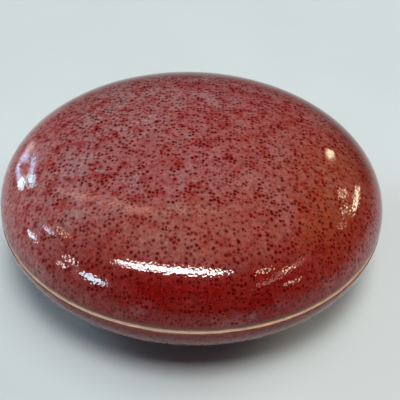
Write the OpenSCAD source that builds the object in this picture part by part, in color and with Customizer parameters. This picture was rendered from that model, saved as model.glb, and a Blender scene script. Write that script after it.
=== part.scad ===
// Round two-piece porcelain box for seal paste: a domed lid over a bowl-shaped base, both glazed outside.
// The base has a foot ring, a ledge that carries the lid and a raised collar that keeps the lid centred.
// Millimetres, +Z up. The origin is the middle of the foot ring, on the table.

/* [Size] */
// Outside diameter over the glaze, at the seam between lid and base
box_d = 75; // [60:1:100]
// Height of the base, from the table to the seam
base_h = 15.3; // [13:0.1:20]
// Height of the lid, from the seam to the middle of its crown
lid_h = 16; // [13:0.5:20]
// Fullness of the lid's curve: 2 is a plain ellipse, and more gives squarer shoulders
lid_fullness = 2.2; // [2:0.05:2.6]
// Fullness of the base's curve, and of the well inside it
base_fullness = 2.2; // [2:0.05:2.6]

/* [Clay] */
// Thickness of the lid's clay under the crown
lid_wall = 3; // [2:0.25:4]
// Thickness of the base's clay floor
floor_t = 3; // [2:0.25:4]
// Rounding of the bare outer edge, on both rims
rim_round = 0.5; // [0.3:0.05:0.8]
// Small bevel on the collar, the lid's inner edge and the foot ring
edge_break = 0.4; // [0.2:0.05:0.6]

/* [Collar and ledge] */
// Width of the ledge outside the collar, which the lid's rim rests on
ledge_w = 3; // [2.4:0.1:4]
// Thickness of the collar
collar_t = 1.8; // [1.4:0.1:2.6]
// How far the collar rises into the lid
collar_h = 3; // [2:0.25:4]
// Clearance between the collar and the lid's socket, all round
collar_gap = 0.3; // [0.2:0.05:0.5]
// Room left above the collar's top, under the socket's shoulder
collar_headroom = 0.6; // [0.3:0.1:1]
// Height of the sloping shoulder between the socket and the lid's lining
socket_slope = 0.8; // [0.4:0.1:1.5]

/* [Foot ring] */
// Outside diameter of the foot ring
foot_d = 43; // [34:1:50]
// Width of the foot ring
foot_w = 2.2; // [1.6:0.1:3]
// Height of the recess inside the foot ring
recess_h = 2.4; // [1.5:0.1:3.5]
// How far the bowl's curve would clear the table in the middle, with no foot ring
foot_lift = 0.3; // [0:0.1:1]

/* [Glaze] */
// Thickness of the red glaze outside
glaze_t = 0.35; // [0.25:0.05:0.6]
// Thickness that the red glaze thins out to at the rims, where it was wiped off the clay
glaze_edge_t = 0.12; // [0.05:0.01:0.2]
// Height over which the red glaze thins out
glaze_taper = 2.5; // [1:0.25:4]
// Width of the fillet of red glaze that pools where the bowl meets the foot ring
glaze_pool = 1; // [0.5:0.1:2]
// Thickness of the pale glaze inside and under the foot
lining_t = 0.35; // [0.2:0.05:0.5]
// Bare clay left between the lid's rounding and its red glaze
lid_bare = 0.05; // [0:0.05:0.6]
// Bare clay left between the base's rounding and its red glaze
base_bare = 0.2; // [0:0.05:0.6]
// Bare clay left on the collar's inner face, below its top
collar_bare = 1; // [0.6:0.1:1.6]
// Bare clay left on both faces of the foot ring, above the table
foot_bare = 1; // [0.6:0.1:1.4]

/* [Seal paste] */
// Width of the strip of the well's wall left clean round the paste
paste_margin = 6; // [4:0.5:12]
// Rise of the paste's crown above its edge
paste_crown = 5.2; // [2:0.2:7]
// Fullness of the paste's crown
paste_fullness = 2.3; // [2:0.05:2.6]

/* [Hidden] */

$fn = 128;
dome_steps = 32;
round_steps = 6;
right_angle = 90;

red_glaze = [0.52, 0.22, 0.22];
pale_glaze = [0.90, 0.89, 0.85];
bare_clay = [0.78, 0.62, 0.52];
vermilion = [0.76, 0.13, 0.08];

// Radii, from the outside inwards
box_r = box_d / 2;
clay_r = box_r - glaze_t;
collar_r = clay_r - ledge_w;
socket_r = collar_r + collar_gap;
well_r = collar_r - collar_t;
lid_in_r = clay_r - lid_wall;
foot_r = foot_d / 2;
foot_in_r = foot_r - foot_w;

// Heights of the curves, measured from the seam
lid_in_h = lid_h - glaze_t - lid_wall;
bowl_h = base_h - foot_lift;
well_h = base_h - recess_h - floor_t;
socket_h = collar_h + collar_headroom;
lid_glaze_start = rim_round + lid_bare;
base_glaze_start = rim_round + base_bare;
lining_start = socket_h + socket_slope;
paste_r = well_r - lining_t - paste_margin;

// Angle on a curve of height h and fullness n at which it has risen by z
function angle_at_height(z, h, n) = asin(pow(z / h, n / 2));

// Angle on a curve of radius r and fullness n at which it has drawn in to x
function angle_at_radius(x, r, n) = acos(pow(x / r, n / 2));

// Point at angle a on a curve of radius r, height h and fullness n
function curve_point(r, h, n, a) = [r * pow(cos(a), 2 / n), h * pow(sin(a), 2 / n)];

// Points of such a curve between two angles
function curve(r, h, n, from, to) = [
  for (i = [0 : dome_steps])
    curve_point(r, h, n, from + (to - from) * i / dome_steps)
];

// Thickness of the red glaze at a height z past its edge, which lies at start
function glaze_at(z, start) =
  glaze_edge_t + (glaze_t - glaze_edge_t) * min(1, (z - start) / glaze_taper);

// The clay's face under the red glaze, inside the curve of the glaze's own face
function under_glaze(h, n, start, from, to) = [
  for (i = [0 : dome_steps])
    let (a = from + (to - from) * i / dome_steps)
    let (t = glaze_at(curve_point(box_r, h, n, a).y, start))
    curve_point(box_r - t, h - t, n, a)
];

// The same curve below the seam
function below(points) = [for (p = points) [p.x, -p.y]];

// Points in the opposite order, to walk back along a shared face
function reversed(points) = [for (i = [len(points) - 1 : -1 : 0]) points[i]];

// Points of a smooth bend from p to q, which leaves and meets them along the lines to a corner
function bend(p, corner, q) = [
  for (i = [0 : round_steps])
    let (t = i / round_steps)
    (1 - t) * (1 - t) * p + 2 * t * (1 - t) * corner + t * t * q
];

// Quarter round of radius r about a centre, between two angles
function quarter(centre, r, from, to) = [
  for (i = [0 : round_steps])
    let (a = from + (to - from) * i / round_steps)
    centre + r * [cos(a), sin(a)]
];

// Angles at which the red glaze starts and ends
lid_start_angle = angle_at_height(lid_glaze_start, lid_h, lid_fullness);
base_start_angle = angle_at_height(base_glaze_start, bowl_h, base_fullness);
base_pool_angle = angle_at_radius(foot_r + glaze_t + glaze_pool, box_r, base_fullness);
base_foot_angle = angle_at_radius(foot_r, box_r - glaze_t, base_fullness);

// Faces that two pieces share, as points measured from the seam
lid_outside = curve(box_r, lid_h, lid_fullness, lid_start_angle, right_angle);
lid_under_glaze = under_glaze(
  lid_h, lid_fullness, lid_glaze_start, lid_start_angle, right_angle
);
lid_inside = curve(
  lid_in_r, lid_in_h, lid_fullness,
  angle_at_height(lining_start, lid_in_h, lid_fullness), right_angle
);
lid_lining_face = curve(
  lid_in_r - lining_t, lid_in_h - lining_t, lid_fullness,
  angle_at_height(lining_start, lid_in_h - lining_t, lid_fullness), right_angle
);
base_outside = below(curve(box_r, bowl_h, base_fullness, base_start_angle, base_pool_angle));
base_under_glaze = below(under_glaze(
  bowl_h, base_fullness, base_glaze_start, base_start_angle, base_foot_angle
));
well = below(curve(well_r, well_h, base_fullness, 0, right_angle));
paste_seat_angle = angle_at_radius(paste_r, well_r - lining_t, base_fullness);
well_face_side = below(curve(
  well_r - lining_t, well_h - lining_t, base_fullness, 0, paste_seat_angle
));
well_face_floor = below(curve(
  well_r - lining_t, well_h - lining_t, base_fullness, paste_seat_angle, right_angle
));
paste_edge_z = well_face_floor[0].y;

// Turns a profile measured from the seam into a solid at its height above the table
module turned(profile, seam_z = base_h) {
  translate([0, 0, seam_z])
    rotate_extrude()
      polygon(profile);
}

// Clay shell of the lid, with a bare rounded rim and the socket that drops over the collar
module lid_body() {
  rim_r = lid_under_glaze[0].x;
  profile = concat(
    [[socket_r + edge_break, 0]],
    quarter([rim_r - rim_round, rim_round], rim_round, -right_angle, 0),
    lid_under_glaze,
    reversed(lid_inside),
    [[socket_r, socket_h], [socket_r, edge_break]]
  );
  color(bare_clay)
    turned(profile);
}

// Red glaze over the lid
module lid_glaze() {
  color(red_glaze)
    turned(concat(lid_outside, reversed(lid_under_glaze)));
}

// Pale glaze inside the lid
module lid_lining() {
  color(pale_glaze)
    turned(concat(lid_inside, reversed(lid_lining_face)));
}

// Clay bowl with its foot ring, ledge and collar
module base_body() {
  rim_r = base_under_glaze[0].x;
  foot_z = -base_h;
  recess_z = foot_z + recess_h;
  profile = concat(
    [[0, recess_z], [foot_in_r, recess_z], [foot_in_r, foot_z + edge_break]],
    [[foot_in_r + edge_break, foot_z], [foot_r - edge_break, foot_z], [foot_r, foot_z + edge_break]],
    reversed(base_under_glaze),
    quarter([rim_r - rim_round, -rim_round], rim_round, 0, right_angle),
    [[collar_r, 0], [collar_r, collar_h - edge_break], [collar_r - edge_break, collar_h]],
    [[well_r + edge_break, collar_h], [well_r, collar_h - edge_break]],
    well
  );
  color(bare_clay)
    turned(profile);
}

// Red glaze over the base, down to the bare foot of the ring
module base_glaze() {
  foot_edge_z = foot_bare - base_h;
  glazed_foot_r = foot_r + glaze_t;
  pool_start = base_outside[dome_steps];
  pool_end = [glazed_foot_r, pool_start.y - glaze_pool];
  profile = concat(
    base_outside,
    bend(pool_start, [glazed_foot_r, pool_start.y], pool_end),
    [[glazed_foot_r, foot_edge_z], [foot_r, foot_edge_z]],
    reversed(base_under_glaze)
  );
  color(red_glaze)
    turned(profile);
}

// Pale glaze of the well, up the collar's inner face
module base_lining() {
  lining_top = collar_h - collar_bare;
  floor_face = [for (i = [1 : dome_steps]) well_face_floor[i]];
  profile = concat(
    [[well_r, lining_top]],
    well,
    reversed(floor_face),
    reversed(well_face_side),
    [[well_r - lining_t, lining_top]]
  );
  color(pale_glaze)
    turned(profile);
}

// Pale glaze in the recess under the base
module foot_glaze() {
  recess_z = recess_h - base_h;
  foot_edge_z = foot_bare - base_h;
  profile = [
    [0, recess_z],
    [0, recess_z - lining_t],
    [foot_in_r - lining_t, recess_z - lining_t],
    [foot_in_r - lining_t, foot_edge_z],
    [foot_in_r, foot_edge_z],
    [foot_in_r, recess_z]
  ];
  color(pale_glaze)
    turned(profile);
}

// Pat of seal paste, bedded on the lining of the well
module seal_paste() {
  crown = curve(paste_r, paste_crown, paste_fullness, 0, right_angle);
  profile = concat(
    [for (p = crown) [p.x, paste_edge_z + p.y]],
    [for (i = [dome_steps : -1 : 1]) well_face_floor[i]]
  );
  color(vermilion)
    turned(profile);
}

lid_body();
lid_glaze();
lid_lining();
base_body();
base_glaze();
base_lining();
foot_glaze();
seal_paste();
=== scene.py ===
import math

import bmesh
import bpy
from mathutils import Matrix, Vector, noise


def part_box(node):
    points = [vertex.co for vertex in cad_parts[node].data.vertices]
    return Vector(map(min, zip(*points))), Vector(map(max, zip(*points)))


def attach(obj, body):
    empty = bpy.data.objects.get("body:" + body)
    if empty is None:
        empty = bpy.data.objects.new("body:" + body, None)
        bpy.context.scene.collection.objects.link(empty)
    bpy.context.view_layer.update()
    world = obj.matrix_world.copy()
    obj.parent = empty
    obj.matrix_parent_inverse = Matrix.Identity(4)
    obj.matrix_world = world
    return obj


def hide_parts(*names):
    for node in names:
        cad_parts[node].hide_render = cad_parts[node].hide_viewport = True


bl_info = {
    "name": "Seal Paste Box",
    "version": (1, 0, 0),
    "blender": (4, 5, 0),
    "location": "3D View > Sidebar > Seal Box",
    "description": "Turns, glazes and lights a porcelain box for seal paste on its CAD frame",
    "category": "Add Mesh",
}

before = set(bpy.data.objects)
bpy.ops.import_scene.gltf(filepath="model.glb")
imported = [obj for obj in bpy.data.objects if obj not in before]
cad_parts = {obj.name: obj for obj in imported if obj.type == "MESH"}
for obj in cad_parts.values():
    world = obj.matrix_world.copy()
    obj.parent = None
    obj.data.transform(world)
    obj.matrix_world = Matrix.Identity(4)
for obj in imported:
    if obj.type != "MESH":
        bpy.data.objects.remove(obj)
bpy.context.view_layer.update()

MM = 0.001
QUARTER_TURN = math.pi / 2
SEAM_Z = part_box("lid_body")[0].z
LID_TOP_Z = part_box("lid_glaze")[1].z
COLLAR_TOP_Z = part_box("base_body")[1].z
WELL_FLOOR_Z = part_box("seal_paste")[0].z
PASTE_TOP_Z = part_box("seal_paste")[1].z
PASTE_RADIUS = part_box("seal_paste")[1].x
GLAZED_FOOT_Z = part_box("base_glaze")[0].z
RECESS_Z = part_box("foot_glaze")[1].z
FOOT_INNER_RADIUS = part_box("foot_glaze")[1].x

# How strongly each surface bends light
RED_GLAZE_IOR = 1.36
PALE_GLAZE_IOR = 1.52
CLAY_IOR = 1.5
PASTE_IOR = 1.48
FLOOR_IOR = 1.3

# Fired skin of the red glaze, in millimetres
DIMPLE_CELL = 0.42
WAVE_HEIGHT = 0.008
PIT_DEPTH = 0.0015
BLOTCH_SHIFT = (7, 3, 5)

# Turning and trimming
SHARP_EDGE = math.radians(50)
WELD_DISTANCE = 0.0005 * MM
TRIM_SPREAD = 14 * MM
RED_LIP_ROLL = 0.12 * MM

# A glaze edge wavers in waves with ripples on them; a higher number makes them shorter
EDGE_WAVES = 7
EDGE_RIPPLES = 29
RIPPLE_SHARE = 0.6

# Top of the paste: the fullness of its crown, and the size, depth and layers of its stirred hollows
PASTE_FULLNESS = 2.3
STIR_SPREAD = 5 * MM
STIR_LEVEL = 0.6
STIR_LAYERS = 4


def length(name, description, default):
    """A size in metres that can be changed in the sidebar."""
    return bpy.props.FloatProperty(
        name=name, description=description, default=default, min=0, precision=5,
        unit="LENGTH", subtype="DISTANCE",
    )


def number(name, description, default):
    """A plain number that can be changed in the sidebar."""
    return bpy.props.FloatProperty(name=name, description=description, default=default, precision=3)


def angle(name, description, degrees):
    """An angle that can be changed in the sidebar."""
    return bpy.props.FloatProperty(
        name=name, description=description, default=math.radians(degrees), unit="ROTATION", subtype="ANGLE",
    )


def colour(name, description, default):
    """A colour that can be changed in the sidebar."""
    return bpy.props.FloatVectorProperty(
        name=name, description=description, default=default, min=0, max=1, subtype="COLOR",
    )


class BoxShape(bpy.types.PropertyGroup):
    """Outline of the box, measured from the seam between lid and base"""

    radius: length("Radius", "Outside radius over the glaze, at the seam", 37.5 * MM)
    lid_height: length("Lid height", "From the seam to the middle of the crown", LID_TOP_Z - SEAM_Z)
    base_height: length("Base height", "From the seam to the table", SEAM_Z)
    lid_fullness: number("Lid fullness", "2 is a plain ellipse, and more gives squarer shoulders", 2.2)
    base_fullness: number("Base fullness", "2 is a plain ellipse, and more gives squarer shoulders", 2.2)
    foot_lift: length("Foot lift", "How far the bowl's curve clears the table", 0.3 * MM)
    foot_radius: length("Foot radius", "Outside radius of the bare foot ring", 21.5 * MM)
    wall: length("Wall", "Thickness of the lid's clay under the crown", 3 * MM)
    well_radius: length("Well radius", "Radius of the clay well, inside the collar", 32.35 * MM)
    lining_start: length("Lining start", "Height in the lid where its pale lining begins", 4.4 * MM)
    collar_bare: length("Bare collar", "Clay left bare inside the collar's top", 1 * MM)
    steps: bpy.props.IntProperty(
        name="Steps round", description="Faces round each piece", default=192, min=48,
    )


class GlazeCoat(bpy.types.PropertyGroup):
    """Thickness of the glaze coats"""

    thickness: length("Red glaze", "Thickness of the red glaze", 0.35 * MM)
    edge: length("Thin edge", "Thickness where the red glaze was wiped off the rims", 0.12 * MM)
    taper: length("Taper", "Height over which the red glaze thins out", 2.5 * MM)
    lid_start: length("Lid edge", "Height of the lid's glaze edge over the seam", 0.55 * MM)
    base_start: length("Base edge", "Depth of the base's glaze edge under the seam", 0.62 * MM)
    pool: length("Pool", "Width of the glaze that gathers at the foot", 1 * MM)
    lining: length("Lining", "Thickness of the pale glaze", 0.35 * MM)
    bedding: length("Bedding", "How far a coat is bedded into the clay", 0.04 * MM)
    unevenness: length("Unevenness", "How far the hand-trimmed surface strays", 0.035 * MM)
    ragged_lid: length("Lid edge waver", "How far the lid's glaze edge wavers", 0.05 * MM)
    ragged_base: length("Base edge waver", "How far the base's glaze edge wavers", 0.2 * MM)


class RedGlaze(bpy.types.PropertyGroup):
    """Copper red glaze with iron specks"""

    ground: colour("Ground", "Rose brick ground of the crown", (0.320, 0.089, 0.080))
    cloud: colour("Clouds", "Milky pink clouds in the ground", (0.34, 0.165, 0.16))
    # Painted reflection: the pale pink on the left side stands in for light reflected in the glaze
    painted_left_reflection: colour("Blush", "Pale pink on the left side", (0.50, 0.14, 0.13))
    deep: colour("Deep red", "Thick glaze on the shoulder", (0.195, 0.001, 0.001))
    # Real wisps, and also the colour of the painted reflection low at the sides and under the seam
    wisp_and_painted_reflection: colour("Wisps", "Mauve wisps low on the shoulder", (0.290, 0.115, 0.120))
    # Painted reflection: the pale mauve towards the foot stands in for the floor reflected in the glaze
    hem: colour("Hem", "Pale mauve glaze towards the foot", (0.30, 0.120, 0.116))
    ember: colour("Ember", "Clear red round the specks", (0.265, 0.020, 0.016))
    flush: colour("Flush", "Orange red on one side", (0.275, 0.055, 0.009))
    speck: colour("Specks", "Iron specks", (0.095, 0, 0))
    thin: colour("Thin edge", "Brown edge where the glaze is thin", (0.175, 0.044, 0.026))
    speck_cell: number("Speck spacing", "Size in millimetres of the cells that hold one speck each", 0.70)
    speck_radius: number("Speck radius", "Largest radius of a speck in millimetres", 0.47)
    blotch_cell: number("Blotch spacing", "Size in millimetres of the cells that hold one blotch each", 4.6)
    gloss: number("Roughness", "Roughness of the fired surface", 0.035)
    peel: number("Peel", "Height in millimetres of the fine dimples in the surface", 0.009)


class PaleGlaze(bpy.types.PropertyGroup):
    """Clear glaze over the white clay inside"""

    body: colour("Pale glaze", "Glaze over white clay", (0.79, 0.80, 0.76))
    pooled: colour("Pooled glaze", "Blue-green tint where it lies thicker", (0.66, 0.72, 0.69))
    pinhole: colour("Pinholes", "Tiny pits in the pale glaze", (0.45, 0.40, 0.34))
    iron: colour("Iron spots", "A few brown spots in the pale glaze", (0.12, 0.06, 0.035))
    gloss: number("Roughness", "Roughness of the fired surface", 0.09)


class BareClay(bpy.types.PropertyGroup):
    """Unglazed rims and foot ring"""

    body: colour("Clay", "Bare fired clay", (0.86, 0.51, 0.33))
    flash: colour("Flash", "Brown flash beside the red glaze", (0.30, 0.12, 0.065))
    # Painted shade: the dark line where the lid meets the base stands in for the shadow in the gap
    painted_groove_shade: colour("Groove", "Dark line where the lid meets the base", (0.050, 0.028, 0.014))
    speck: colour("Grit", "Dark grit in the clay", (0.20, 0.12, 0.08))
    roughness: number("Roughness", "Roughness of the bare clay", 0.62)


class PasteLook(bpy.types.PropertyGroup):
    """Cinnabar seal paste"""

    body: colour("Paste", "Cinnabar in oil", (0.70, 0.040, 0.016))
    shade: colour("Oily hollows", "Where oil gathers", (0.40, 0.012, 0.008))
    lumps: length("Lumps", "Height of the stirred lumps", 0.5 * MM)


class StudioSetup(bpy.types.PropertyGroup):
    """Floor, lamps and camera"""

    floor: colour("Floor", "Plain pale floor", (0.61, 0.66, 0.65))
    backdrop: colour("Backdrop", "Plain pale backdrop that only the camera sees", (0.54, 0.60, 0.60))
    room: colour("Room light", "Dim light from all round", (0.60, 0.76, 1))
    elevation: angle("Camera elevation", "Angle of the view over the table", 38.32)
    roll: angle("Camera roll", "Turn of the camera about its own line of sight", 2.254)
    distance: length("Camera distance", "From the middle of the seam", 159.1 * MM)
    aside: length("Camera aside", "Move of the camera to the right", 1.591 * MM)
    lower: length("Camera lower", "Move of the camera down its frame", 1.612 * MM)
    lens: number("Lens", "Focal length in millimetres on a 36 mm frame", 71.52)


def curve_point(radius, height, fullness, turn):
    """Point of a full curve at an angle from the seam up to the middle."""
    return radius * math.cos(turn) ** (2 / fullness), height * math.sin(turn) ** (2 / fullness)


def turn_at_height(z, height, fullness):
    """Angle at which such a curve has risen by z."""
    return math.asin((z / height) ** (fullness / 2))


def turn_at_radius(x, radius, fullness):
    """Angle at which such a curve has drawn in to x."""
    return math.acos((x / radius) ** (fullness / 2))


def curve(radius, height, fullness, start, end, steps=56):
    """Points of such a curve between two angles."""
    turns = [start + (end - start) * i / steps for i in range(steps + 1)]
    return [curve_point(radius, height, fullness, t) for t in turns]


def below(points):
    """The same points, under the seam."""
    return [(x, -z) for x, z in points]


def bend(start, corner, end, steps=10):
    """Smooth bend from start to end, which leaves and meets them along the lines to a corner."""
    points = []
    for i in range(steps + 1):
        t = i / steps
        weights = ((1 - t) ** 2, 2 * t * (1 - t), t * t)
        points.append(tuple(sum(w * p[k] for w, p in zip(weights, (start, corner, end))) for k in (0, 1)))
    return points


def turn_form(profile, steps, ring=False, lift=SEAM_Z):
    """Turns a profile of (radius, height) points about the upright axis into a closed form."""
    form = bmesh.new()
    points = [form.verts.new((max(x, 0), 0, z + lift)) for x, z in profile]
    pairs = list(zip(points, points[1:]))
    if ring:
        pairs.append((points[-1], points[0]))
    edges = [form.edges.new(pair) for pair in pairs]
    bmesh.ops.spin(
        form, geom=points + edges, cent=(0, 0, 0), axis=(0, 0, 1), dvec=(0, 0, 0),
        angle=math.tau, steps=steps, use_merge=True,
    )
    bmesh.ops.remove_doubles(form, verts=form.verts, dist=WELD_DISTANCE)
    bmesh.ops.recalc_face_normals(form, faces=form.faces)
    form.normal_update()
    return form


def trim_by_hand(form, amount, spread):
    """Moves the skin in and out by a little, as trimming on the wheel leaves it."""
    for vert in form.verts:
        vert.co += vert.normal * amount * noise.noise(vert.co / spread)


def waver_edge(form, edge_z, amount, reach=1.2 * MM):
    """Lets the edge of a coat run up and down by a little on its way round."""
    for vert in form.verts:
        near = 1 - abs(vert.co.z - edge_z) / reach
        if near > 0:
            around = Vector((vert.co.x, vert.co.y, 0)).normalized()
            waves = noise.noise(around * EDGE_WAVES) + RIPPLE_SHARE * noise.noise(around * EDGE_RIPPLES)
            vert.co.z += amount * near * waves


def finish_piece(form, name, material, body, slot, *nodes):
    """Makes a form into a smooth piece that rides on a body and stands for its CAD nodes."""
    mesh = bpy.data.meshes.new(name)
    form.to_mesh(mesh)
    form.free()
    mesh.polygons.foreach_set("use_smooth", [True] * len(mesh.polygons))
    mesh.set_sharp_from_angle(angle=SHARP_EDGE)
    mesh.materials.append(material)
    piece = bpy.data.objects.new(name, mesh)
    bpy.context.scene.collection.objects.link(piece)
    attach(piece, body)
    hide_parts(*nodes)
    return piece


class Nodes:
    """A node tree, with a short call for each kind of node that this box needs."""

    def __init__(self, tree):
        self.tree = tree
        self.tree.nodes.clear()

    def add(self, kind, inputs=None, **settings):
        """Adds a node, sets it, and fills its inputs with values or links."""
        node = self.tree.nodes.new(kind)
        for name, value in settings.items():
            setattr(node, name, value)
        for key, value in (inputs or {}).items():
            if isinstance(value, bpy.types.NodeSocket):
                self.tree.links.new(value, node.inputs[key])
            else:
                node.inputs[key].default_value = value
        return node

    def maths(self, operation, a, b=0.0, clamp=False):
        """One sum on two values."""
        node = self.add("ShaderNodeMath", {0: a, 1: b}, operation=operation, use_clamp=clamp)
        return node.outputs[0]

    def times(self, first, *others):
        """Several values, multiplied in turn."""
        for other in others:
            first = self.maths("MULTIPLY", first, other)
        return first

    def remainder(self, share):
        """What a share leaves of the whole."""
        return self.maths("SUBTRACT", 1, share)

    def fade(self, value, start, end, low=0.0, high=1.0):
        """Eases from low to high while value goes from start to end."""
        inputs = {"Value": value, 1: start, 2: end, 3: low, 4: high}
        return self.add("ShaderNodeMapRange", inputs, interpolation_type="SMOOTHSTEP").outputs[0]

    def mix(self, share, a, b):
        """Mixes two colours."""
        node = self.add("ShaderNodeMix", {0: share, 6: tint(a), 7: tint(b)}, data_type="RGBA")
        return node.outputs[2]

    def toned(self, colour, tone):
        """A colour, made lighter or darker by a tone."""
        return self.add("ShaderNodeVectorMath", {0: colour, "Scale": tone}, operation="SCALE").outputs[0]


class Finish(Nodes):
    """A material's nodes, with places on the box in millimetres."""

    def __init__(self, name):
        self.material = bpy.data.materials.new(name)
        self.material.use_nodes = True
        super().__init__(self.material.node_tree)
        place = self.add("ShaderNodeTexCoord").outputs["Object"]
        scale = (1 / MM, 1 / MM, 1 / MM)
        self.place = self.add("ShaderNodeMapping", {"Vector": place, "Scale": scale}).outputs["Vector"]
        axes = self.add("ShaderNodeSeparateXYZ", {"Vector": self.place}).outputs
        self.x, self.y, self.z = axes["X"], axes["Y"], axes["Z"]

    def towards(self, x_share, y_share):
        """Distance from the middle towards one side, which lies partly along X and partly along Y."""
        return self.maths("ADD", self.times(self.x, x_share), self.times(self.y, y_share))

    def moved(self, shift):
        """Places moved by a shift, so that two patterns of one kind don't fall together."""
        return self.add("ShaderNodeMapping", {"Vector": self.place, "Location": shift}).outputs["Vector"]

    def noise(self, size, detail=2.0, shift=(0, 0, 0)):
        """Cloudy pattern whose clouds are about size millimetres across."""
        inputs = {"Vector": self.moved(shift), "Scale": 1 / size, "Detail": detail, "Roughness": 0.55}
        return self.add("ShaderNodeTexNoise", inputs).outputs["Fac"]

    def dots(self, cell, radius, shift=(0, 0, 0)):
        """Round dots of mixed sizes, one in each cell: 1 in the middle, 0 from the edge on."""
        inputs = {"Vector": self.moved(shift), "Scale": 1 / cell, "Randomness": 0.92}
        spots = self.add("ShaderNodeTexVoronoi", inputs)
        chance = self.add("ShaderNodeSeparateColor", {"Color": spots.outputs["Color"]}).outputs["Red"]
        smallest, largest = 0.3 * radius / cell, 1.05 * radius / cell
        reach = self.maths("DIVIDE", spots.outputs["Distance"], self.fade(chance, 0, 1, smallest, largest))
        return self.fade(reach, 1.0, 0.35)

    def bump(self, height):
        """Surface relief from a height in millimetres."""
        return self.add("ShaderNodeBump", {"Height": height, "Distance": MM}).outputs["Normal"]

    def shade(self, inputs):
        """Ends the material in one shader."""
        shader = self.add("ShaderNodeBsdfPrincipled", inputs)
        self.add("ShaderNodeOutputMaterial", {"Surface": shader.outputs["BSDF"]})
        return self.material


def tint(value):
    """A colour with its alpha, or a link as it is."""
    return value if isinstance(value, bpy.types.NodeSocket) else (*value, 1)


class GlazePlaces:
    """What the red glaze's colours go by: distances in millimetres, and two cloudy patterns."""

    def __init__(self, finish):
        seam = SEAM_Z / MM
        self.under_seam = finish.maths("SUBTRACT", seam, finish.z)
        self.from_seam = finish.maths("ABSOLUTE", finish.maths("SUBTRACT", finish.z, seam))
        self.sideways = finish.maths("ABSOLUTE", finish.x)
        self.frontward = finish.towards(0.35, -0.94)
        self.rightward = finish.towards(0.93, -0.37)
        self.haze = finish.fade(finish.noise(2.6, 3, (40, 0, 0)), 0.48, 0.64)
        self.drift = finish.noise(14, 2, (0, 0, 60))


def deep_red_share(finish, at):
    """Share of deep red: thick glaze low on the front shoulder, and less of it at both sides."""
    low = finish.fade(at.from_seam, 12, 6.5)
    front = finish.fade(finish.fade(at.frontward, -14, 30), 0, 1, 0.55, 1)
    uneven = finish.fade(at.drift, 0.35, 0.6, 0.82, 1.05)
    thick = finish.maths("MULTIPLY", finish.times(low, front), uneven, clamp=True)
    left_side = finish.fade(finish.x, -32, -7, 0.1, 1)
    right_side = finish.fade(finish.x, 14, 32, 1, 0.5)
    return finish.times(thick, left_side, right_side)


def glaze_ground(finish, at, look, deep_red):
    """Ground of the red glaze: milky clouds, clear red haze, an orange flush and deep red, with painted
    reflections: paler on the left, mauve low at both sides and under the seam, and pale mauve towards the
    foot.
    """
    clouds = finish.fade(finish.noise(7, 4), 0.46, 0.62)
    clouds = finish.times(clouds, finish.fade(at.rightward, -26, 22, 1, 0.45))
    # Painted reflection: the ground is mixed paler towards the left
    painted_left_haze = finish.fade(at.rightward, 4, -16, 0, 0.5)
    painted_left_haze = finish.times(painted_left_haze, finish.fade(at.rightward, -20, -33, 1, 0.4))
    colour = finish.mix(finish.maths("ADD", clouds, painted_left_haze, clamp=True), look.ground, look.cloud)
    clear_red = finish.times(at.haze, finish.fade(at.sideways, 8, 26, 0.45, 0.75))
    colour = finish.mix(clear_red, colour, look.ember)
    right_flush = finish.times(finish.fade(at.rightward, 6, 34), finish.fade(at.drift, 0.35, 0.6, 0.5, 1))
    flush = finish.maths("MAXIMUM", right_flush, finish.fade(at.frontward, 10, 26, 0, 0.4))
    colour = finish.mix(finish.times(flush, 0.82), colour, look.flush)
    colour = finish.mix(finish.times(deep_red, 0.97), colour, look.deep)
    wisps_and_painted_reflection = finish.fade(finish.noise(5, 3, (0, 50, 0)), 0.5, 0.68)
    wisps_and_painted_reflection = finish.times(
        wisps_and_painted_reflection, finish.fade(at.from_seam, 7, 2, 0, 0.42), finish.fade(at.under_seam, -0.5, 0.5, 1, 0)
    )
    # Painted reflection: even mauve on the base just under the seam
    wisps_and_painted_reflection = finish.maths("MAXIMUM", wisps_and_painted_reflection, finish.fade(at.under_seam, 1.6, 3.4, 0, 0.45))
    # Painted reflection: mauve veil low on the shoulder at both sides
    painted_side_reflection = finish.times(finish.fade(at.sideways, 22, 35, 0, 0.6), finish.fade(at.from_seam, 8, 3))
    colour = finish.mix(finish.maths("MAXIMUM", wisps_and_painted_reflection, painted_side_reflection), colour, look.wisp_and_painted_reflection)
    # Painted reflection: pale pink towards the left edge
    colour = finish.mix(finish.fade(finish.x, -20, -35, 0, 0.7), colour, look.painted_left_reflection)
    # Painted reflection of the floor: pale mauve on the base towards the foot
    return finish.mix(finish.fade(at.under_seam, 2.5, 5.5, 0, 0.85), colour, look.hem)


def glaze_specks(finish, at, look, colour, specks, deep_red):
    """Iron over the ground: blotches and specks ringed with clear red, and fine dots between them."""
    halos = finish.dots(look.blotch_cell, 1.5, BLOTCH_SHIFT)
    colour = finish.mix(finish.times(halos, 0.6), colour, look.ember)
    rings = finish.dots(look.speck_cell, 1.9 * look.speck_radius)
    rings = finish.times(rings, finish.fade(at.haze, 0, 1, 0.35, 0.8))
    colour = finish.mix(rings, colour, look.ember)
    blotches = finish.dots(look.blotch_cell, 0.6, BLOTCH_SHIFT)
    colour = finish.mix(finish.times(blotches, 0.6), colour, look.speck)
    fine = finish.times(
        finish.dots(0.5, 0.24, (13, 0, 9)),
        finish.fade(deep_red, 0, 1, 0.35, 0.85),
        finish.fade(at.rightward, -30, -8, 0.3, 1),
        finish.fade(finish.y, -4, 24, 1, 0.3),
    )
    colour = finish.mix(fine, colour, look.speck)
    strength = finish.times(
        finish.fade(finish.noise(3, 2, (9, 9, 0)), 0.3, 0.6, 0.7, 1),
        finish.fade(finish.x, -34, -22, 0.4, 1),
        finish.fade(finish.y, 4, 30, 1, 0.6),
    )
    return finish.mix(finish.times(specks, strength), colour, look.speck)


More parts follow.
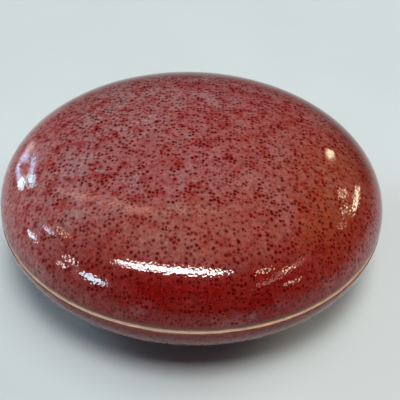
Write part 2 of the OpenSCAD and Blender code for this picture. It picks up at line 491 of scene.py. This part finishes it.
def glaze_grain_and_painted_shade(finish, at):
    """Fine grain in the glaze, with painted shade: a darker tone at the back, darker still at the back rim,
    and under the seam; it is also darker towards the right edge.
    """
    grain = finish.fade(finish.noise(0.7, 3, (0, 25, 0)), 0.3, 0.7, 0.78, 1.2)
    # Painted shade: darker towards the back, and darker still at the back rim
    back = finish.fade(finish.y, 2, 30, 1, 0.82)
    painted_back_rim_shade = finish.fade(finish.y, 20, 32, 1, 0.62)
    right_edge = finish.fade(finish.towards(0.9, 0.45), 22, 32)
    right_edge = finish.times(right_edge, finish.fade(at.from_seam, 5, 9, 0, 0.3))
    # Painted shade on the base under the seam
    painted_shade_below_seam = finish.fade(at.under_seam, 0.5, 2, 1, 0.8)
    return finish.times(grain, back, painted_back_rim_shade, finish.remainder(right_edge), painted_shade_below_seam)


def glaze_relief(finish, at, look, specks):
    """Height of the fired skin in millimetres: fine dimples, slow waves, and a pit at each speck."""
    cells = finish.add("ShaderNodeTexVoronoi", {"Vector": finish.place, "Scale": 1 / DIMPLE_CELL})
    dimples = finish.times(
        cells.outputs["Distance"],
        finish.fade(at.from_seam, 13, 9.5, look.peel, 1.4 * look.peel),
        finish.fade(finish.y, 12, 28, 1, 0.3),
    )
    waves = finish.times(finish.noise(3.2, 1), WAVE_HEIGHT)
    pits = finish.times(specks, -PIT_DEPTH)
    return finish.maths("ADD", finish.maths("ADD", dimples, waves), pits)


def red_glaze_finish(look):
    """Copper red glaze: rose ground, milky clouds, iron specks and deeper red on the shoulder, with painted
    reflections and painted shade in its colour.
    """
    finish = Finish("copper_red_glaze")
    at = GlazePlaces(finish)
    deep_red = deep_red_share(finish, at)
    specks = finish.dots(look.speck_cell, look.speck_radius)
    colour = glaze_ground(finish, at, look, deep_red)
    colour = glaze_specks(finish, at, look, colour, specks, deep_red)
    thin_edge = finish.fade(at.from_seam, 1.15, 0.8)
    colour = finish.mix(finish.times(thin_edge, 0.8), colour, look.thin)
    colour = finish.toned(colour, glaze_grain_and_painted_shade(finish, at))
    relief = finish.bump(glaze_relief(finish, at, look, specks))
    return finish.shade({
        "Base Color": colour, "Roughness": look.gloss, "IOR": RED_GLAZE_IOR, "Normal": relief,
    })


def pale_glaze_finish(look):
    """Clear glaze over white clay, with pinholes and a faint blue-green where it pools."""
    finish = Finish("clear_pale_glaze")
    pools = finish.fade(finish.noise(9, 2), 0.45, 0.7)
    well_floor = WELL_FLOOR_Z / MM
    on_floor = finish.fade(finish.z, well_floor + 3.5, well_floor)
    pooled = finish.maths("MAXIMUM", finish.times(pools, 0.5), finish.times(on_floor, 0.8))
    pinholes = finish.dots(2.4, 0.14)
    iron = finish.dots(6.5, 0.2, (5, 1, 2))
    colour = finish.mix(pooled, look.body, look.pooled)
    colour = finish.mix(finish.times(pinholes, 0.25), colour, look.pinhole)
    colour = finish.mix(finish.times(iron, 0.7), colour, look.iron)
    height = finish.maths("SUBTRACT", finish.times(finish.noise(0.8, 1), 0.003), finish.times(pinholes, 0.01))
    return finish.shade({
        "Base Color": colour, "Roughness": look.gloss, "IOR": PALE_GLAZE_IOR, "Normal": finish.bump(height),
    })


def bare_clay_finish(look):
    """Bare buff clay with grit, flashed brown beside the red glaze."""
    finish = Finish("bare_buff_clay")
    over = finish.maths("SUBTRACT", finish.z, SEAM_Z / MM)
    # Only the outer faces of the rims get the flash and the painted shade of the groove
    squares = finish.maths("ADD", finish.maths("POWER", finish.x, 2), finish.maths("POWER", finish.y, 2))
    outside = finish.fade(finish.maths("SQRT", squares), 36.4, 36.7)
    flash = finish.maths("MAXIMUM", finish.fade(over, 0.15, 0.3), finish.fade(over, -0.45, -0.65, 0, 0.8))
    flash = finish.times(flash, outside)
    # Painted shade of the gap between lid and base, laid dark on the lid's clay just over the seam
    painted_groove_shade = finish.times(finish.fade(over, 0.0, 0.1), finish.fade(over, 0.45, 0.25), outside)
    grit = finish.dots(0.6, 0.13, (2, 8, 4))
    mottle = finish.fade(finish.noise(2.2, 3), 0.3, 0.7, 0.84, 1.12)
    colour = finish.mix(flash, look.body, look.flash)
    colour = finish.mix(finish.times(painted_groove_shade, 0.9), colour, look.painted_groove_shade)
    colour = finish.mix(finish.times(grit, 0.55), colour, look.speck)
    relief = finish.bump(finish.times(finish.noise(0.18, 2), 0.012))
    return finish.shade({
        "Base Color": finish.toned(colour, mottle), "Roughness": look.roughness, "IOR": CLAY_IOR,
        "Normal": relief,
    })


def seal_paste_finish(look):
    """Oily vermilion paste with fine plant fibre in it."""
    finish = Finish("vermilion_seal_paste")
    oil = finish.fade(finish.noise(2.6, 3), 0.4, 0.66)
    fibre = finish.noise(0.22, 3, (1, 5, 9))
    colour = finish.mix(finish.times(oil, 0.55), look.body, look.shade)
    colour = finish.toned(colour, finish.fade(fibre, 0.25, 0.75, 0.8, 1.15))
    height = finish.maths("ADD", finish.times(fibre, 0.06), finish.times(finish.noise(1.1, 3), 0.16))
    return finish.shade({
        "Base Color": colour, "Roughness": finish.fade(oil, 0, 1, 0.5, 0.3), "IOR": PASTE_IOR,
        "Normal": finish.bump(height),
    })


class SEALBOX_OT_clay(bpy.types.Operator):
    """Give the turned clay of lid and base its bare finish"""

    bl_idname = "seal_box.clay"
    bl_label = "Bare Clay"

    def execute(self, context):
        material = bare_clay_finish(context.scene.bare_clay)
        for name in ("lid_body", "base_body"):
            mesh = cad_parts[name].data
            mesh.materials.clear()
            mesh.materials.append(material)
        return {"FINISHED"}


def coat_thickness(z, start, coat):
    """Thickness of the red glaze at a height past its edge."""
    return coat.edge + (coat.thickness - coat.edge) * min(1, (z - start) / coat.taper)


def clay_under_glaze(shape, coat, height, fullness, start_z, start, end, steps=24):
    """The clay's face under the red glaze, bedded in by a hair."""
    points = []
    for i in range(steps + 1):
        turn = start + (end - start) * i / steps
        z = curve_point(shape.radius, height, fullness, turn)[1]
        t = coat_thickness(z, start_z, coat) + coat.bedding
        points.append(curve_point(shape.radius - t, height - t, fullness, turn))
    return points


def rolled_edge(clay_edge, skin_edge, roll, steps=6):
    """Round lip of a coat, from the clay out to the coat's skin."""
    (clay_x, z), (skin_x, _) = clay_edge, skin_edge
    turns = [QUARTER_TURN * i / steps for i in range(steps)]
    return [(clay_x + (skin_x - clay_x) * math.sin(t), z + roll * (1 - math.cos(t))) for t in turns]


def lid_glaze_form(shape, coat):
    """Red coat over the whole lid."""
    start = turn_at_height(coat.lid_start, shape.lid_height, shape.lid_fullness)
    skin_start = turn_at_height(coat.lid_start + RED_LIP_ROLL, shape.lid_height, shape.lid_fullness)
    skin = curve(shape.radius, shape.lid_height, shape.lid_fullness, skin_start, QUARTER_TURN, 80)
    clay = clay_under_glaze(
        shape, coat, shape.lid_height, shape.lid_fullness, coat.lid_start, start, QUARTER_TURN
    )
    lip = rolled_edge(clay[0], skin[0], RED_LIP_ROLL)
    form = turn_form(clay[::-1] + lip[1:] + skin, shape.steps)
    trim_by_hand(form, coat.unevenness, TRIM_SPREAD)
    waver_edge(form, SEAM_Z + coat.lid_start, coat.ragged_lid)
    return form


def base_glaze_form(shape, coat):
    """Red coat over the base, down to the bare foot."""
    height = shape.base_height - shape.foot_lift
    full, roll = shape.base_fullness, RED_LIP_ROLL
    start = turn_at_height(coat.base_start, height, full)
    skin_start = turn_at_height(coat.base_start + roll, height, full)
    glazed_foot = shape.foot_radius + coat.thickness
    pool_turn = turn_at_radius(glazed_foot + coat.pool, shape.radius, full)
    foot_turn = turn_at_radius(shape.foot_radius, shape.radius - coat.thickness, full)
    skin = curve(shape.radius, height, full, skin_start, pool_turn)
    clay = clay_under_glaze(shape, coat, height, full, coat.base_start, start, foot_turn)
    foot_z = GLAZED_FOOT_Z - SEAM_Z
    pool = bend(skin[-1], (glazed_foot, skin[-1][1]), (glazed_foot, skin[-1][1] + coat.pool))
    lip = rolled_edge(clay[0], skin[0], roll)
    hem = [(glazed_foot, -foot_z - roll), (glazed_foot - 0.3 * roll, -foot_z - 0.3 * roll)]
    hem += [(glazed_foot - roll, -foot_z), (shape.foot_radius - coat.bedding, -foot_z)]
    form = turn_form(below(clay[::-1] + lip[1:] + skin + pool[1:] + hem), shape.steps, ring=True)
    trim_by_hand(form, coat.unevenness, TRIM_SPREAD)
    waver_edge(form, SEAM_Z - coat.base_start, coat.ragged_base)
    waver_edge(form, GLAZED_FOOT_Z, coat.ragged_base)
    return form


class SEALBOX_OT_red_glaze(bpy.types.Operator):
    """Coat the outside of lid and base with speckled copper red glaze"""

    bl_idname = "seal_box.red_glaze"
    bl_label = "Red Glaze"

    def execute(self, context):
        shape, coat = context.scene.box_shape, context.scene.glaze_coat
        material = red_glaze_finish(context.scene.red_glaze)
        lid_coat, base_coat = lid_glaze_form(shape, coat), base_glaze_form(shape, coat)
        finish_piece(lid_coat, "lid_red_coat", material, "lid", "red_glaze_lid", "lid_glaze")
        finish_piece(base_coat, "base_red_coat", material, "base", "red_glaze_base", "base_glaze")
        return {"FINISHED"}


def lid_lining_form(shape, coat):
    """Pale coat inside the lid, above the socket."""
    radius = shape.radius - coat.thickness - shape.wall
    height = shape.lid_height - coat.thickness - shape.wall
    full = shape.lid_fullness
    face_radius, face_height = radius - coat.lining, height - coat.lining
    roll = 0.2 * MM
    clay = curve(radius + coat.bedding, height + coat.bedding, full,
                 turn_at_height(shape.lining_start, height, full), QUARTER_TURN)
    face = curve(face_radius, face_height, full,
                 turn_at_height(shape.lining_start + roll, face_height, full), QUARTER_TURN)
    lip = rolled_edge(clay[0], face[0], roll)
    return turn_form(clay[::-1] + lip[1:] + face, shape.steps)


def well_lining_form(shape, coat):
    """Pale coat of the well, up the inside of the collar."""
    floor_z = WELL_FLOOR_Z - SEAM_Z
    top = COLLAR_TOP_Z - SEAM_Z - shape.collar_bare
    full = shape.base_fullness
    face_radius, face_depth = shape.well_radius - coat.lining, -floor_z
    radius, depth = shape.well_radius + coat.bedding, face_depth + coat.lining + coat.bedding
    roll = 0.25 * MM
    face = below(curve(face_radius, face_depth, full, 0, QUARTER_TURN))
    clay = below(curve(radius, depth, full, 0, QUARTER_TURN))
    lip = bend((radius, top), (face_radius, top), (face_radius, top - roll))
    return turn_form(clay[::-1] + lip + face, shape.steps)


def foot_lining_form(shape, coat):
    """Pale coat of the recess inside the foot ring, pooled in its corner."""
    radius, roof, hem = FOOT_INNER_RADIUS, RECESS_Z - SEAM_Z, GLAZED_FOOT_Z - SEAM_Z
    face_radius, face_roof = radius - coat.lining, roof - coat.lining
    cove = 0.7 * MM
    bed_radius, bed_roof = radius + coat.bedding, roof + coat.bedding
    clay = [(0, bed_roof), (bed_radius, bed_roof), (bed_radius, hem)]
    lip = bend(clay[-1], (face_radius, hem), (face_radius, hem + 0.2 * MM))
    corner = bend((face_radius, face_roof - cove), (face_radius, face_roof), (face_radius - cove, face_roof))
    rings = [(face_radius - cove) * (1 - i / 12) for i in range(1, 13)]
    return turn_form(clay + lip[1:] + corner + [(x, face_roof) for x in rings], shape.steps)


class SEALBOX_OT_pale_glaze(bpy.types.Operator):
    """Line the lid, the well and the foot recess with pale glaze"""

    bl_idname = "seal_box.pale_glaze"
    bl_label = "Pale Glaze"

    def execute(self, context):
        shape, coat = context.scene.box_shape, context.scene.glaze_coat
        material = pale_glaze_finish(context.scene.pale_glaze)
        lid_coat, well_coat = lid_lining_form(shape, coat), well_lining_form(shape, coat)
        foot_coat = foot_lining_form(shape, coat)
        finish_piece(lid_coat, "lid_pale_coat", material, "lid", "pale_glaze_lid", "lid_lining")
        finish_piece(well_coat, "well_pale_coat", material, "base", "pale_glaze_well", "base_lining")
        finish_piece(foot_coat, "foot_pale_coat", material, "base", "pale_glaze_foot", "foot_glaze")
        return {"FINISHED"}


def seal_paste_form(shape, coat, look):
    """Pat of paste that fills the bottom of the well, with stirred hollows in its top."""
    full = shape.base_fullness
    face_radius, face_depth = shape.well_radius - coat.lining, SEAM_Z - WELL_FLOOR_Z
    seat = turn_at_radius(PASTE_RADIUS, face_radius, full)
    bed = below(curve(face_radius, face_depth, full, seat, QUARTER_TURN, 16))
    edge_z = bed[0][1]
    rise = PASTE_TOP_Z - SEAM_Z - edge_z
    top = curve(PASTE_RADIUS, rise, PASTE_FULLNESS, 0, QUARTER_TURN, 80)
    form = turn_form(bed[::-1] + [(x, z + edge_z) for x, z in top[1:]], shape.steps)
    for vert in form.verts:
        if vert.normal.z > 0 and vert.co.z > SEAM_Z + edge_z:
            hollow = noise.fractal(vert.co / STIR_SPREAD, 1.0, 2.0, STIR_LAYERS) - STIR_LEVEL
            vert.co.z += look.lumps * min(0.0, hollow)
    return form


class SEALBOX_OT_seal_paste(bpy.types.Operator):
    """Bed a stirred pat of vermilion seal paste in the well"""

    bl_idname = "seal_box.seal_paste"
    bl_label = "Seal Paste"

    def execute(self, context):
        shape, coat, look = context.scene.box_shape, context.scene.glaze_coat, context.scene.paste_look
        form = seal_paste_form(shape, coat, look)
        finish_piece(form, "seal_paste_pat", seal_paste_finish(look), "base", "vermilion_paste", "seal_paste")
        return {"FINISHED"}


def direction(azimuth, elevation):
    """Unit vector at an azimuth from +Y towards +X and an elevation, both in degrees."""
    turn, rise = math.radians(azimuth), math.radians(elevation)
    return Vector((math.sin(turn) * math.cos(rise), math.cos(turn) * math.cos(rise), math.sin(rise)))


LAMP_DISTANCE = 0.9
HIGHLIGHT_LAMPS = (
    # name, azimuth, elevation, width, height, tilt, brightness, colour
    ("front_strip", -164, 62.5, 0.79, 0.09, 9, 60, (1, 0.98, 0.96)),
    ("window_left_bar", -48, 2, 0.19, 0.04, 42, 11, (0.44, 0.68, 1)),
    ("window_right_bar", -47, 16, 0.18, 0.045, 30, 11, (0.44, 0.68, 1)),
    ("window_arch", -43, 4, 0.22, 0.04, 80, 8, (0.46, 0.66, 1)),
    ("window_head", -39, 3, 0.14, 0.07, 79, 3, (1, 0.84, 0.84)),
    ("window_sill_left", -55, 10, 0.11, 0.08, 75, 24, (0.50, 0.88, 1)),
    ("window_sill_right", -54, 19, 0.11, 0.08, 75, 20, (0.50, 0.88, 1)),
    ("left_lamp_low", -86, 10, 0.11, 0.08, 4, 34, (0.68, 0.88, 1)),
    ("left_lamp_high", -86, 29, 0.09, 0.06, 41, 22, (0.70, 0.82, 1)),
    ("left_lamp_warm", -89, 38, 0.10, 0.03, 35, 20, (1, 0.74, 0.45)),
    ("side_lamp_high", -110, 26, 0.10, 0.08, 20, 26, (1, 0.93, 0.92)),
    ("side_lamp_low", -110, 14, 0.09, 0.06, 2, 32, (1, 0.95, 0.90)),
    ("side_window", -128, 21, 0.20, 0.15, 11, 36, (0.62, 0.86, 1)),
    ("right_lamp_high", 35, 22.5, 0.055, 0.03, 134, 32, (1, 0.84, 0.55)),
    ("right_lamp_back", 54, 28, 0.07, 0.04, 29, 24, (1, 0.82, 0.52)),
    ("right_lamp_tall", 58, 18, 0.24, 0.04, 158, 28, (1, 0.86, 0.60)),
    ("right_lamp_near", 64, 27, 0.07, 0.035, 69, 26, (1, 0.82, 0.52)),
    ("right_lamp_small", 73, 27, 0.05, 0.03, 69, 20, (1, 0.80, 0.45)),
    ("front_lamp_high", 127, 48, 0.09, 0.04, -12, 28, (1, 0.80, 0.52)),
    ("front_lamp_middle", 117, 38, 0.06, 0.04, 10, 28, (1, 0.78, 0.50)),
    ("front_lamp_low", 122.5, 21, 0.13, 0.04, -15, 24, (1, 0.76, 0.62)),
    ("front_glow", 122, 37, 0.55, 0.06, 11, 5, (1, 0.76, 0.62)),
)
CEILING_GLOW = (
    # name, distance to the right, distance to the back, height, width, depth, turn, brightness, colour
    ("ceiling_edge_left", -0.75, 0.59, 1.2, 1.1, 0.10, -28, 5, (1, 0.66, 0.50)),
    ("ceiling_edge_right", 0.01, 0.39, 1.2, 0.56, 0.09, 9, 3, (1, 0.66, 0.50)),
    ("ceiling_field", -0.6, 0.12, 1.2, 1.7, 0.7, -20, 0.6, (1, 0.68, 0.54)),
)
SOFT_LIGHTS = (
    # the same columns
    ("soft_light_front", 0.05, -0.45, 1.3, 0.5, 0.5, 0, 16, (1, 1, 1)),
    ("soft_light_behind", 0.15, 0.1, 1.3, 0.5, 0.5, 0, 4, (1, 1, 1)),
    ("soft_light_left", -1.3, 0.5, 0.8, 0.8, 0.8, 0, 7, (0.68, 0.86, 1)),
    ("soft_light_right", 1.3, 0.5, 0.8, 0.8, 0.8, 0, 8, (1, 0.95, 0.86)),
)
BRIGHTER_SIDE = (-0.95, 0.05, 0.31)
ELLIPSE_SHARE = math.pi / 4
FLOOR_RADIUS = 3
FLOOR_GAP = 0.02 * MM
FILM_WIDTH = 36


def hang(name, shape, width, height, area, brightness, colour, pose, soft):
    """Hangs one lamp: a soft one lights surfaces, and any other only shows as a reflection."""
    lamp = bpy.data.lights.new(name, "AREA")
    lamp.shape = shape
    lamp.size, lamp.size_y = width, height
    lamp.energy = brightness * math.pi * area
    lamp.color = colour
    holder = bpy.data.objects.new(name, lamp)
    holder.matrix_world = pose
    holder.visible_camera = False
    holder.visible_diffuse = soft
    holder.visible_glossy = not soft
    bpy.context.scene.collection.objects.link(holder)


def hang_panel(name, right, back, height, width, depth, turn, brightness, colour, soft):
    """Hangs a large dim panel level over the box, facing down."""
    pose = Matrix.Translation((right, back, height)) @ Matrix.Rotation(math.radians(turn), 4, "Z")
    hang(name, "RECTANGLE", width, depth, width * depth, brightness, colour, pose, soft)


def hang_lamp(name, azimuth, elevation, width, height, tilt, brightness, colour):
    """Hangs a flat oval lamp on a line out of the box's middle, facing the box."""
    towards = direction(azimuth, elevation)
    across = Vector((0, 0, 1)).cross(towards).normalized()
    upward = towards.cross(across)
    turn = math.radians(tilt)
    long_axis = across * math.cos(turn) + upward * math.sin(turn)
    short_axis = towards.cross(long_axis)
    pose = Matrix((long_axis, short_axis, towards)).transposed().to_4x4()
    pose.translation = Vector((0, 0, SEAM_Z)) + towards * LAMP_DISTANCE
    area = ELLIPSE_SHARE * width * height
    hang(name, "ELLIPSE", width, height, area, brightness, colour, pose, soft=False)


def light_room(setup):
    """Dim room light, a little brighter from the left, and a pale backdrop that only the camera sees."""
    world = bpy.data.worlds.new("room")
    world.use_nodes = True
    room = Nodes(world.node_tree)
    towards = room.add("ShaderNodeTexCoord").outputs["Generated"]
    left = room.add("ShaderNodeVectorMath", {0: towards, 1: BRIGHTER_SIDE}, operation="DOT_PRODUCT")
    level = room.fade(left.outputs["Value"], 0.35, 1, 0.05, 0.15)
    light = room.add("ShaderNodeBackground", {"Color": tint(setup.room), "Strength": level})
    backdrop = room.add("ShaderNodeBackground", {"Color": tint(setup.backdrop)})
    seen = room.add("ShaderNodeLightPath").outputs["Is Camera Ray"]
    both = room.add("ShaderNodeMixShader", {"Fac": seen, 1: light.outputs[0], 2: backdrop.outputs[0]})
    room.add("ShaderNodeOutputWorld", {"Surface": both.outputs[0]})
    bpy.context.scene.world = world


def floor_finish(setup):
    """Plain pale floor with painted shade: far out it is dimmer to every ray but the camera's, it is dimmer
    in reflections, and for the camera it meets the backdrop.
    """
    finish = Finish("plain_pale_floor")
    cloudy = finish.fade(finish.noise(60, 2), 0.3, 0.7, 0.98, 1.02)
    out = finish.add("ShaderNodeVectorMath", {0: finish.place}, operation="LENGTH").outputs["Value"]
    rays = finish.add("ShaderNodeLightPath").outputs
    # Painted shade: the floor darkens far out for every ray but the camera's, and in reflections from 30 mm
    # out
    painted_shade_far_out = finish.times(finish.remainder(rays["Is Camera Ray"]), finish.fade(out, 170, 500, 0, 0.45))
    painted_shade_in_reflections = finish.times(rays["Is Glossy Ray"], finish.fade(out, 30, 220, 0, 0.6))
    level = finish.times(cloudy, finish.remainder(painted_shade_far_out), finish.remainder(painted_shade_in_reflections))
    meeting = finish.times(rays["Is Camera Ray"], finish.fade(out, 350, 2400), 0.9)
    return finish.shade({
        "Base Color": finish.toned(setup.floor, level), "Roughness": 0.85, "IOR": FLOOR_IOR,
        "Emission Color": tint(setup.backdrop), "Emission Strength": meeting,
    })


def lay_floor(setup):
    """Lays a round floor just under the foot ring."""
    form = bmesh.new()
    bmesh.ops.create_circle(form, cap_ends=True, radius=FLOOR_RADIUS, segments=96)
    bmesh.ops.translate(form, verts=form.verts, vec=(0, 0, -FLOOR_GAP))
    mesh = bpy.data.meshes.new("floor")
    form.to_mesh(mesh)
    form.free()
    mesh.materials.append(floor_finish(setup))
    floor = bpy.data.objects.new("floor", mesh)
    bpy.context.scene.collection.objects.link(floor)


def place_camera(setup):
    """Sets the camera at the photograph's viewing angle."""
    rise, roll = setup.elevation, setup.roll
    back = Vector((0, -math.cos(rise), math.sin(rise)))
    right = Vector((1, 0, 0))
    up = back.cross(right)
    camera = bpy.data.cameras.new("view")
    camera.sensor_width = FILM_WIDTH
    camera.lens = setup.lens
    camera.clip_start = 5 * MM
    camera.clip_end = 20
    holder = bpy.data.objects.new("view", camera)
    frame_right = right * math.cos(roll) + up * math.sin(roll)
    frame_up = up * math.cos(roll) - right * math.sin(roll)
    pose = Matrix((frame_right, frame_up, back)).transposed().to_4x4()
    pose.translation = Vector((0, 0, SEAM_Z)) + back * setup.distance + right * setup.aside - up * setup.lower
    holder.matrix_world = pose
    bpy.context.scene.collection.objects.link(holder)
    bpy.context.scene.camera = holder


class SEALBOX_OT_studio(bpy.types.Operator):
    """Lay the floor, hang the lamps and place the camera"""

    bl_idname = "seal_box.studio"
    bl_label = "Studio"

    def execute(self, context):
        setup = context.scene.studio_setup
        lay_floor(setup)
        light_room(setup)
        for lamp in HIGHLIGHT_LAMPS:
            hang_lamp(*lamp)
        for panel in CEILING_GLOW:
            hang_panel(*panel, soft=False)
        for panel in SOFT_LIGHTS:
            hang_panel(*panel, soft=True)
        place_camera(setup)
        context.scene.view_settings.view_transform = "Standard"
        return {"FINISHED"}


SETTINGS = {
    "box_shape": BoxShape,
    "glaze_coat": GlazeCoat,
    "red_glaze": RedGlaze,
    "pale_glaze": PaleGlaze,
    "bare_clay": BareClay,
    "paste_look": PasteLook,
    "studio_setup": StudioSetup,
}
STEPS = (
    SEALBOX_OT_clay,
    SEALBOX_OT_red_glaze,
    SEALBOX_OT_pale_glaze,
    SEALBOX_OT_seal_paste,
    SEALBOX_OT_studio,
)


class SEALBOX_PT_panel(bpy.types.Panel):
    """Lists the steps and the settings of the box"""

    bl_idname = "SEALBOX_PT_panel"
    bl_label = "Seal Paste Box"
    bl_space_type = "VIEW_3D"
    bl_region_type = "UI"
    bl_category = "Seal Box"

    def draw(self, context):
        for step in STEPS:
            self.layout.operator(step.bl_idname)
        for name, group in SETTINGS.items():
            box = self.layout.box()
            box.label(text=group.__doc__)
            for setting in group.__annotations__:
                box.prop(getattr(context.scene, name), setting)


def register():
    """Registers the settings, the steps and the panel."""
    for name, group in SETTINGS.items():
        bpy.utils.register_class(group)
        setattr(bpy.types.Scene, name, bpy.props.PointerProperty(type=group))
    for item in (*STEPS, SEALBOX_PT_panel):
        bpy.utils.register_class(item)


def unregister():
    """Takes them out again."""
    for item in (SEALBOX_PT_panel, *reversed(STEPS)):
        bpy.utils.unregister_class(item)
    for name, group in reversed(SETTINGS.items()):
        delattr(bpy.types.Scene, name)
        bpy.utils.unregister_class(group)


def main():
    """Builds the box step by step."""
    register()
    bpy.ops.seal_box.clay()
    bpy.ops.seal_box.red_glaze()
    bpy.ops.seal_box.pale_glaze()
    bpy.ops.seal_box.seal_paste()
    bpy.ops.seal_box.studio()


if __name__ == "__main__":
    main()
